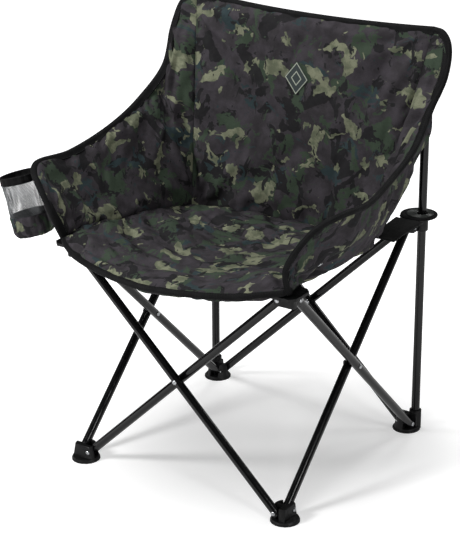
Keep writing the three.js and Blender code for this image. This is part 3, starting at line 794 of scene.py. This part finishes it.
def pad(name, surface, width, length, kinds, pulls, seed, layout="plain"):
    """A closed pad around a surface, with folds in both of its sheets and a rounded edge."""
    columns, rows = round(width / QUAD), round(length / QUAD)
    grid = even(surface, columns, rows)
    if layout == "mirrored":
        grid = grid * (-1, 1, 1)
    elif layout == "reversed":
        grid = grid[:, ::-1]
    normal = unit(np.cross(np.gradient(grid, axis=1), np.gradient(grid, axis=0)))
    s, t = distances(grid, 1), distances(grid, 0)
    s = s - s[:, columns // 2, None]
    u, v = np.meshgrid(np.linspace(0, 1, columns + 1), np.linspace(0, 1, rows + 1))
    thick = crown(u, v)
    edge = np.minimum.reduce([u * width, (1 - u) * width, v * length, (1 - v) * length])
    calm = ((edge - 9 * MM) / (18 * MM)).clip(0, 1)
    pull = pull_depth(u, v, width, length, pulls, seed) * calm
    vertices, cloth = [], []
    for side, number, share in ((1, seed, 1), (-1, seed + 9, 0.7)):
        folds = np.vectorize(lambda a, b: fold_depth(a, b, kinds, number))(s, t)
        rise = thick + folds * calm * share
        vertices += list((grid + normal * (side * rise + pull)[..., None]).reshape(-1, 3))
        cloth += list(stacked(s, t, side * thick + seed).reshape(-1, 3))
    ring = [(0, c) for c in range(columns)] + [(r, columns) for r in range(rows)]
    ring += [(rows, c) for c in range(columns, 0, -1)] + [(r, 0) for r in range(rows, 0, -1)]
    r, c = np.array(ring).T
    out = unit(grid[r, c] - grid[r.clip(1, rows - 1), c.clip(1, columns - 1)])
    vertices += list(grid[r, c] + out * 1.5 * MM)
    cloth += list(stacked(s[r, c], t[r, c], seed))
    outline = (r * (columns + 1) + c).tolist()
    faces = pad_faces(columns, rows, outline)
    piece = new_piece(name, vertices, faces, CAMOUFLAGE, cloth)
    held = outline + [index + u.size for index in outline]
    held += range(2 * u.size, len(vertices))
    piece.vertex_groups.new(name="held").add(held, 1.0, "REPLACE")
    return piece


def swell_pads(pads):
    """Lets the pads fill out as cloth held at its seams, then keeps the shape that they take."""
    for piece in pads:
        modifier = piece.modifiers.new("Cloth", "CLOTH")
        for key, value in CLOTH.items():
            setattr(modifier.settings, key, value)
        modifier.settings.effector_weights.gravity = 0
        modifier.point_cache.frame_start = 1
        modifier.point_cache.frame_end = SIMULATION_FRAMES
    for number in range(1, SIMULATION_FRAMES + 1):
        scene.frame_set(number)
    graph = bpy.context.evaluated_depsgraph_get()
    for piece in pads:
        start = points_of(piece.data)
        move = points_of(piece.evaluated_get(graph).data) - start
        far = np.linalg.norm(move, axis=1, keepdims=True).clip(1e-9)
        piece.modifiers.clear()
        set_points(piece.data, start + move * np.minimum(1, SWELL_CAP / far))
    scene.frame_set(1)
    for piece in pads:
        modifier = piece.modifiers.new("Round", "SUBSURF")
        modifier.levels = modifier.render_levels = 1
        settle(piece)


def add_panels():
    """The five pads; returns their surfaces, and the height that the badge lies at."""
    def base(low, high):
        return lambda u, v: base_point(2 * u - 1, lerp(low, high, v))

    def back(u, v):
        return back_point(2 * u - 1, v)

    def wing(rim):
        return lambda u, v: wing_point(lerp(0.02, 1, u), v, rim)

    base_folds = [(8 * MM, 5, 13), (4 * MM, 15, 30)]
    back_folds = [(8 * MM, 10, 6), (4 * MM, 25, 14)]
    wing_folds = [(7.5 * MM, 10, 6), (3.8 * MM, 24, 16)]
    base_pulls = [(0, 0, 5.5 * MM, 0.24, 12), (1, 0, 5.5 * MM, 0.24, 11), (0.5, 1, 3 * MM, 0.25, 9)]
    back_pulls = [(0, 1, 6.5 * MM, 0.22, 11), (1, 1, 6.5 * MM, 0.22, 12),
                  (0, 0, 6.5 * MM, 0.22, 10), (1, 0, 6.5 * MM, 0.22, 11)]
    wing_pulls = [(0, 1, 5 * MM, 0.17, 12), (1, 1, 5 * MM, 0.17, 12), (0, 0, 6.5 * MM, 0.22, 12),
                  (1, 0, 6.5 * MM, 0.2, 12)]
    specs = {
        "seat_base_front": (SQUASH_SIDE, base(0, CREASE_SHARE), 0.53, 0.41, base_folds,
                            base_pulls, 2.0),
        "seat_base_rear": (SQUASH_SIDE, base(CREASE_SHARE, 1), 0.5, 0.15, base_folds, [], 5.0),
        "back_panel": (SQUASH_BACK, back, 0.55, 0.46, back_folds, back_pulls, 11.0),
        "wing_right": (SQUASH_DEPTH, wing(RIM), 0.62, 0.22, wing_folds, wing_pulls, 17.0,
                       "reversed"),
        "wing_left": (SQUASH_DEPTH, wing(SUNK_RIM), 0.62, 0.22, wing_folds, wing_pulls, 23.0,
                      "mirrored"),
    }
    pads = {node: pad(f"{node}_pad", *settings) for node, (_, *settings) in specs.items()}
    swell_pads(pads.values())
    lie = press_badge(pads["back_panel"])
    for node, piece in pads.items():
        fit_piece(piece, node, squash=specs[node][0])
    return {node: surface_of(piece) for node, piece in pads.items()}, lie


def surface_of(piece):
    points = [vertex.co.copy() for vertex in piece.data.vertices]
    return BVHTree.FromPolygons(points, [tuple(face.vertices) for face in piece.data.polygons])


# Binding tape round the rim

STITCH = [(0.0, 0.0), (0.7, 0.12), (1.0, 0.35), (1.0, 0.65), (0.7, 0.88), (0.0, 1.0)]


def bind(node, edge, inward, squash, seed):
    """Tape folded over an edge of the cloth, with a line of stitches on both of its sides."""
    section = band_section(7.5 * MM, 10.5 * MM, 6 * MM)
    tangent = unit(np.gradient(edge, axis=0))
    side = unit(np.cross(tangent, unit(inward)))
    inner = np.cross(side, tangent)
    length = distances(edge)
    vertices, cloth = [], []
    for row, far in enumerate(length):
        wobble = 0.35 * MM * noise_at(far * 60, seed, 0)
        turn = 0.12 * noise_at(far * 14, seed + 5, 0)
        for number, (depth, width) in enumerate(section):
            swell = 1 + 0.06 * noise_at(far * 45, number, seed)
            a = depth * math.cos(turn) - width * math.sin(turn)
            b = (depth * math.sin(turn) + width * math.cos(turn)) * swell + wobble
            vertices.append(edge[row] + inner[row] * a + side[row] * b)
            cloth.append((far, number / len(section) * 44 * MM, seed))
    faces = ring_faces(len(edge), len(section), "capped")
    piece = new_piece(f"{node}_tape", vertices, faces, TAPE, cloth)
    turn_outwards(piece)
    fit_piece(piece, node, squash=squash)
    lines = [(edge + inner * 8.3 * MM + side * flip * 6.1 * MM, side * flip) for flip in (1, -1)]
    name = node.replace("binding", "stitches")
    add_stitches(name, node, lines, 4.4 * MM, 0.45 * MM, squash)


def band_section(outer, inner, half):
    """A flat band folded over an edge: a round outer fold and two flat sides."""
    start, corner = half - outer, half - 0.8 * MM
    fold = [(start + half * math.cos(angle), half * math.sin(angle))
            for angle in np.linspace(math.pi / 2, 3 * math.pi / 2, 9)]
    flat = [lerp(start, inner, share) for share in (0.3, 0.6, 0.85)]
    return (fold + [(depth, -half) for depth in flat] + [(inner, -corner), (inner, corner)]
            + [(depth, half) for depth in reversed(flat)])


def add_stitches(name, node, lines, pitch, radius, squash):
    """Short thread runs along lines; each line is its points and the way out of the cloth."""
    parts = []
    for points, out in lines:
        length = distances(points)
        for start in np.arange(pitch / 2, length[-1] - pitch / 2, pitch):
            low, high = at_distance(points, length, np.array((start, start + 0.72 * pitch)))
            up = at_distance(out, length, start)
            long = np.linalg.norm(high - low)
            profile = [(share * radius, rise * long) for share, rise in STITCH]
            ring, faces = lathe(profile, 6)
            parts.append((along_axis(ring, low + up * 0.1 * MM, high - low), faces))
    points, faces = join_parts(parts)
    piece = new_piece(name, points, faces, THREAD)
    fit_piece(piece, node, replaced=False, squash=squash)


def add_bindings():
    shares = np.linspace(0, 1, 260)
    turned_rows = 24  # near the post the tape turns towards the back's top edge
    for side, sign, edge in (("right", 1, RIM), ("left", -1, SUNK_RIM)):
        rim = spline(edge, shares) * (sign, 1, 1)
        low = base_point(np.ones_like(shares), shares) * (sign, 1, 1)
        inward = lerp(low, rim, 0.5) - rim
        inward[-turned_rows:] = lerp(inward[-turned_rows:], np.array((-sign * 0.1, 0, -0.2)),
                                     np.linspace(0, 1, turned_rows)[:, None])
        bind(f"binding_{side}", rim, inward, SQUASH_DEPTH, 3 * sign)
    across = np.sin((np.linspace(0, 1, 200) - 0.5) * math.pi)
    top = top_edge(across)
    bind("binding_top", top, back_point(across, np.full(200, 0.9)) - top, SQUASH_BACK, 11)
    front = base_point(across, np.zeros(200))
    bind("binding_front", front, base_point(across, np.full(200, 0.08)) - front, SQUASH_SIDE, 13)


# Sewn fittings

def add_sewn(node, material, squash, shape, grain=1.2 * MM):
    """A sewn frame piece as even cloth; shape gives its vertices new places and their cloth."""
    piece = copied_piece(node, "sewn", material)
    even_grid = piece.modifiers.new("Even", "REMESH")
    even_grid.mode = "VOXEL"
    even_grid.voxel_size = grain
    smooth = piece.modifiers.new("Smooth", "SMOOTH")
    smooth.factor = 0.5
    smooth.iterations = 4
    settle(piece)
    mesh = piece.data
    normals = np.array([vertex.normal[:] for vertex in mesh.vertices])
    places, cloth = shape(points_of(mesh) - np.array(ORIGIN), normals)
    set_cloth(mesh, cloth)
    set_smooth(mesh)
    set_material(mesh, material)
    set_points(mesh, places + np.array(ORIGIN))
    fit_piece(piece, node, squash=squash)


def rough_cloth(points, seed, pitch, fine=0.35):
    """Uneven swells of about -1 to 1 at each point."""
    return np.array([
        noise.noise(Vector(point) / pitch + Vector((seed, 0, 0)))
        + fine * noise.noise(Vector(point) / pitch * 2.7 + Vector((0, seed, 0)))
        for point in points
    ])


def leaned(points, angle):
    """Points turned about the Y axis."""
    x, y, z = np.moveaxis(points, -1, 0)
    c, s = math.cos(angle), math.sin(angle)
    return stacked(x * c + z * s, y, z * c - x * s)


def cup_local(points):
    return leaned(points - CUP_PLACE, CUP_LEAN)


def cup_world(local):
    return leaned(local, -CUP_LEAN) + CUP_PLACE


def round_wall(local):
    """Makes the cup's flat-sided wall round; also each point's angle, radius and share of wall."""
    radius = np.hypot(local[:, 0], local[:, 1])
    angle = np.arctan2(local[:, 1], local[:, 0])
    facet = 2 * math.pi / CUP_SIDES
    off = np.mod(angle, facet) - facet / 2
    wall = ((radius / CUP_RADIUS - 0.8) * 10).clip(0, 1)
    wall *= ((50 * MM - radius) / (4 * MM)).clip(0, 1)
    turn = lerp(1, np.cos(off) / math.cos(facet / 2), wall)
    return local * stacked(turn, turn, 1), angle, radius, wall


def strands(lines, radius, sides):
    """Round threads along lines that all have as many points."""
    steps = lines.shape[1]
    along = unit(np.gradient(lines, axis=1))
    side = unit(np.cross(along, (0.31, 0.17, 0.93)))  # any way that no thread runs
    other = np.cross(along, side)
    angles = 2 * math.pi * np.arange(sides)[:, None] / sides
    ring = side[:, :, None] * np.cos(angles) + other[:, :, None] * np.sin(angles)
    vertices = (lines[:, :, None] + ring * radius).reshape(-1, 3)
    faces = []
    for number in range(len(lines)):
        faces += ring_faces(steps, sides, "capped", number * steps * sides)
    return vertices, faces


def net_point(angle, drop):
    """A place on the net's wall: drop runs from 0 under the band to 1 at the pouch."""
    gather = noise_at(math.cos(angle) * 2.6, math.sin(angle) * 2.6, drop * 0.7 + 3)
    fine = noise_at(math.cos(angle) * 7, math.sin(angle) * 7, drop * 2.2)
    depth = (4.0 * MM * gather + 1.6 * MM * fine) * math.sin(math.pi * drop)
    radius = CUP_RADIUS - 1.6 * MM + depth
    return (radius * math.cos(angle), radius * math.sin(angle),
            -CUP_BAND + 4 * MM - drop * (CUP_NET + 7 * MM))


def cup_band_shape(points, normals):
    local, angle, _, wall = round_wall(cup_local(points))
    local[:, 0] += rough_cloth(points, 4, 30 * MM) * 0.8 * MM * wall
    along = np.where(wall > 0.2, angle * CUP_RADIUS, local[:, 0])
    return cup_world(local), stacked(along, local[:, 2], 31.0)


def cup_pouch_shape(points, normals):
    local, angle, radius, wall = round_wall(cup_local(points))
    drop = (-local[:, 2] - CUP_BAND - CUP_NET) / CUP_POUCH
    tuck = (drop - 0.55).clip(0) / 0.45
    local[:, :2] *= (1 - 0.16 * tuck**2.5 * (radius > 0.6 * CUP_RADIUS))[:, None]
    crumple = rough_cloth(points * (1, 1, 0.45), 8, 14 * MM, 0.5)
    local += (cup_local(points + normals) - cup_local(points)) * (crumple * 1.3 * MM)[:, None]
    along = np.where(wall > 0.2, angle * CUP_RADIUS, local[:, 0] + local[:, 1] * 0.6)
    return cup_world(local), stacked(along, local[:, 2], local[:, 1] * 0.2 + 41)


def add_cup():
    # The pouch's black lining is painted shade: it stands for the shaded inside of the cup seen
    # through the net.
    inner = CUP_RADIUS - 2.7 * MM
    top = CUP_BAND + CUP_NET - 3 * MM
    low = CUP_BAND + CUP_NET + CUP_POUCH - 4 * MM
    half = lerp(top, low, 0.5)
    profile = [(inner, -top), (inner - 0.6 * MM, -half), (inner * 0.88, -low + 3 * MM),
               (inner * 0.8, -low), (0.4 * MM, -low - 0.5 * MM), (0.4 * MM, -low + 0.5 * MM),
               (inner * 0.78, -low + 1 * MM), (inner * 0.86, -low + 3.6 * MM),
               (inner - 1.6 * MM, -half), (inner - 1 * MM, -top)]
    points, faces = lathe(profile, 64, "joined")
    x, y, z = points.T
    piece = new_piece("cup_lining_painted_shade", cup_world(points), faces, LINING,
                      stacked(np.arctan2(y, x) * CUP_RADIUS, z, x))
    turn_outwards(piece)
    fit_piece(piece, "cup_band", replaced=False, squash=SQUASH_DEPTH)

    add_sewn("cup_band", TAPE, SQUASH_DEPTH, cup_band_shape)
    add_sewn("cup_pouch", CAMOUFLAGE, SQUASH_DEPTH, cup_pouch_shape)

    lines = np.array([
        [net_point(2 * math.pi * number / NET_THREADS + lean * NET_TWIST * drop, drop)
         for drop in np.linspace(0, 1, 25)]
        for lean in (1, -1) for number in range(NET_THREADS)
    ])
    vertices, faces = strands(cup_world(lines), 0.4 * MM, 4)
    cloth = np.repeat(lines.reshape(-1, 3), 4, axis=0) + (0, 0, 51)
    piece = new_piece("cup_mesh_net", vertices, faces, NET, cloth)
    fit_piece(piece, "cup_mesh", squash=SQUASH_DEPTH)

    turn = np.linspace(0.12, 2 * math.pi - 0.12, 120)
    circle = stacked(np.cos(turn), np.sin(turn), 0)
    rings = [(cup_world(circle * radius + (0, 0, height)), circle * out)
             for height in (-CUP_BAND + 1.6 * MM, -1.6 * MM)
             for radius, out in ((CUP_RADIUS + 0.2 * MM, 1), (CUP_RADIUS - 2.6 * MM, -1))]
    add_stitches("stitches_cup", "cup_band", rings, 4.0 * MM, 0.4 * MM, SQUASH_DEPTH)


def add_tab_ring(name, node, sign, profile, material, replaced):
    """A closed ring round a rear post; its outer edge is round about the tab's own middle."""
    angles = 2 * math.pi * np.arange(72) / 72
    rings = []
    for reach, height in profile:
        share = np.clip((reach - TAB_HOLE) / (TAB_RADIUS - TAB_HOLE), 0, 1)
        place = POST_PLACE - TAB_INSET * share
        rings.append(stacked(sign * place + reach * np.cos(angles),
                             place + reach * np.sin(angles), HUB_TOP + 0.3 * MM + height))
    around = np.tile(angles * 30 * MM, len(rings))
    across = np.repeat(distances(np.array(profile)), len(angles))
    faces = ring_faces(len(rings), len(angles), "joined")
    piece = new_piece(name, np.vstack(rings), faces, material,
                      stacked(around, across, 61.0 + sign))
    turn_outwards(piece)
    fit_piece(piece, node, replaced)


def add_tabs():
    """The round tabs on the rear hubs: webbing with a ribbed disc on it."""
    top = TAB_THICKNESS
    flat = [(TAB_HOLE, 0.3 * MM), (TAB_HOLE, top - 0.2 * MM), (TAB_HOLE + 1 * MM, top),
            (28 * MM, top), (30 * MM, top), (36.5 * MM, top), (38.3 * MM, top - 0.6 * MM),
            (TAB_RADIUS, top / 2), (38.3 * MM, 0.4 * MM), (36.5 * MM, 0), (11 * MM, 0)]
    ribbed = [(11 * MM, top - 0.3 * MM), (11.5 * MM, top + 0.8 * MM)]
    for number in range(6):
        for step, rise in ((0, 1.5), (1, 1.5), (1.5, 0.7), (2.1, 0.7)):
            ribbed.append(((13 + 2.6 * number + step) * MM, top + rise * MM))
    ribbed += [(27.6 * MM, top + 1.2 * MM), (28.2 * MM, top - 0.3 * MM)]
    for side, sign in SIDES:
        node = f"hub_tab_{side}"
        add_tab_ring(f"{node}_webbing", node, sign, flat, WEBBING, True)
        add_tab_ring(f"{node}_disc", node, sign, ribbed, DISC, False)


def add_straps():
    for side, sign in SIDES:
        def strap(points, normals):
            sag = rough_cloth(points * (1, 1, 0), 12 + sign, 34 * MM)
            return (points + sag[:, None] * (0, 0, 1.6 * MM),
                    stacked(points[:, 1], points[:, 0], 71.0))

        def pocket(points, normals):
            angle = np.arctan2(points[:, 1] - POST_PLACE, points[:, 0] - sign * POST_PLACE)
            crumple = rough_cloth(points, 15 + sign, 16 * MM, 0.5)
            return (points + normals * (crumple * 0.5 * MM)[:, None],
                    stacked(points[:, 2], angle * 12 * MM, 81.0))

        add_sewn(f"strap_rear_{side}", LINING, SQUASH_STRAP, strap)
        add_sewn(f"pocket_{side}", LINING, None, pocket, 1 * MM)


def badge_frame():
    """The badge's middle on the back, its side, rising and outward directions."""
    across = BADGE_WIDTH / 2 / BACK_TOP_HALF_WIDTH
    rise = BACK_HEIGHT - SEAT_REAR_HEIGHT
    up = 1 - BADGE_DROP / rise
    spot, aside, above = back_point(
        np.array([0.0, across, 0.0]), np.array([up, up, up + BADGE_HEIGHT / 2 / rise]))
    side, high = unit(aside - spot), unit(above - spot)
    return spot, side, high, unit(np.cross(side, high))


def press_badge(piece):
    """Presses the back panel flat where the badge is sewn on; returns the height it lies at."""
    spot, side, high, out = badge_frame()
    points = points_of(piece.data)
    offset = points - np.array(ORIGIN) - spot
    depth = offset @ out
    size = np.abs(offset @ side) / (BADGE_WIDTH / 2) + np.abs(offset @ high) / (BADGE_HEIGHT / 2)
    front = depth > 3 * MM
    lie = float(np.median(depth[front & (size < 1)]))
    share = eased(((1.7 - size) / 0.6).clip(0, 1) * front)
    set_points(piece.data, points + out * ((lie - depth) * share)[:, None])
    return lie


def add_badge(lie):
    """A diamond with a raised outline, lying on the back panel."""
    spot, side, high, out = badge_frame()
    blunt = 0.06

    def diamond(size, level):
        corners = []
        for x, y in ((1, 0), (0, 1), (-1, 0), (0, -1)):
            for turn in (-1, 0, 1):
                px = x * (1 - blunt * abs(turn)) - y * turn * blunt
                py = y * (1 - blunt * abs(turn)) + x * turn * blunt
                corners.append(spot + side * px * BADGE_WIDTH / 2 * size
                               + high * py * BADGE_HEIGHT / 2 * size + out * (lie + level))
        return corners

    def solid(name, loops, ends, material, replaced):
        faces = ring_faces(len(loops), len(loops[0]), ends)
        piece = new_piece(name, np.vstack(loops), faces, material)
        turn_outwards(piece)
        set_smooth(piece.data, False)
        fit_piece(piece, "badge", replaced, SQUASH_BACK)

    top = 1.8 * MM
    solid("badge_field", [diamond(1, 0), diamond(1, top - 0.3 * MM), diamond(0.985, top)],
          "capped", BADGE_FIELD, True)
    for name, wide, narrow in (("badge_rim", 0.97, 0.88), ("badge_mark", 0.46, 0.36)):
        loops = [diamond(wide, top - 0.4 * MM), diamond(wide - 0.01, top + 0.5 * MM),
                 diamond(narrow + 0.01, top + 0.5 * MM), diamond(narrow, top - 0.4 * MM)]
        solid(name, loops, "joined", BADGE_LINE, False)


def add_eyelets(pads):
    """A drain eyelet in the outer face of each wing."""
    profile = np.array([(2.4, 0.6), (2.8, 1.3), (4, 1.7), (5.4, 1.3), (6, 0.4), (5.6, -0.6),
                        (2.6, -0.6)])
    points, faces = lathe(profile * MM, 24, "joined")
    for side, sign in SIDES:
        start = Vector((sign * 0.42, -0.224, 0.545)) + ORIGIN
        hit, normal, *_ = pads[f"wing_{side}"].ray_cast(start, Vector((-sign, 0, 0)), 0.3)
        out = normal if normal.x * sign > 0 else -normal
        piece = new_piece(f"eyelet_{side}", along_axis(points, hit - ORIGIN, out), faces, ZINC)
        turn_outwards(piece)
        fit_piece(piece, f"wing_{side}", replaced=False, squash=SQUASH_DEPTH)


# Floor, light and background

WHITE = (1, 1, 1, 1)
FLOOR_REACH = 8
SHADE_MIDDLE = Vector((0.03, 0.05, 0))
SHADE_RADII = (0.12, 0.66)  # the floor's glow rises between these distances; the dimmer glow near the chair is painted shadow
SHADE_GLOW = (0.13, 0.85)
AMBIENT = 0.22
AMBIENT_SHINE = 0.35
LIGHTS = (  # name, place, width, height, power
    ("key", (-2.0, -3.0, 2.7), 0.9, 1.1, 124),
    ("fill", (3.2, -1.6, 1.6), 0.4, 2.4, 34),
    ("rim", (1.2, 3.0, 2.6), 1.4, 1.4, 30),
    ("top", (-0.5, 0.3, 3.6), 1.4, 1.4, 42),
)


def add_floor():
    """A pale floor that shines faintly for the camera, less under the chair than around it: the dip
    near the chair is painted shadow.
    """
    mesh = bpy.data.meshes.new("floor")
    corners = [(-1, -1), (1, -1), (1, 1), (-1, 1)]
    mesh.from_pydata([(x * FLOOR_REACH, y * FLOOR_REACH, 0) for x, y in corners], [],
                     [(0, 1, 2, 3)])
    made = Finish("floor", 1, specular=0)
    place = made.node("ShaderNodeNewGeometry").outputs["Position"]
    far = made.vector_math("DISTANCE", place, ORIGIN + SHADE_MIDDLE).outputs["Value"]
    # Painted shadow: the glow is lowest near the chair and rises away from it.
    glow = made.between(far, *SHADE_RADII, *SHADE_GLOW)
    seen = made.node("ShaderNodeLightPath").outputs["Is Camera Ray"]
    made.feed(made.shader.inputs["Emission Color"], WHITE)
    made.feed(made.shader.inputs["Emission Strength"], made.math("MULTIPLY", seen, glow))
    linked("floor", mesh, made.finish((0.8, 0.8, 0.8, 1)))


def add_world():
    """A white surround that lights the chair dimly and shows dimmed in what shines."""
    scene.world = bpy.data.worlds.new("world")
    made = Nodes(scene.world)
    path = made.node("ShaderNodeLightPath").outputs
    seen = made.math("MAXIMUM", path["Is Camera Ray"], path["Is Transmission Ray"])
    light = made.between(seen, 0, 1, AMBIENT, 1)
    shine = made.between(path["Is Glossy Ray"], 0, 1, 1, AMBIENT_SHINE)
    background = made.tree.nodes["Background"].inputs
    made.feed(background["Color"], WHITE)
    made.feed(background["Strength"], made.math("MULTIPLY", light, shine))


def add_lights():
    aim = ORIGIN + Vector((0, 0, 0.4))
    for name, place, width, height, power in LIGHTS:
        light = bpy.data.lights.new(name, "AREA")
        light.shape = "RECTANGLE"
        light.size, light.size_y = width, height
        light.energy = power
        lamp = bpy.data.objects.new(name, light)
        scene.collection.objects.link(lamp)
        lamp.location = ORIGIN + Vector(place)
        lamp.rotation_euler = (lamp.location - aim).to_track_quat("Z", "Y").to_euler()


scene.view_settings.view_transform = "Standard"
add_floor()
add_world()
add_lights()
add_tubes()
add_rivets()
add_blocks()
pad_surfaces, badge_lie = add_panels()
add_bindings()
add_cup()
add_tabs()
add_straps()
add_badge(badge_lie)
add_eyelets(pad_surfaces)
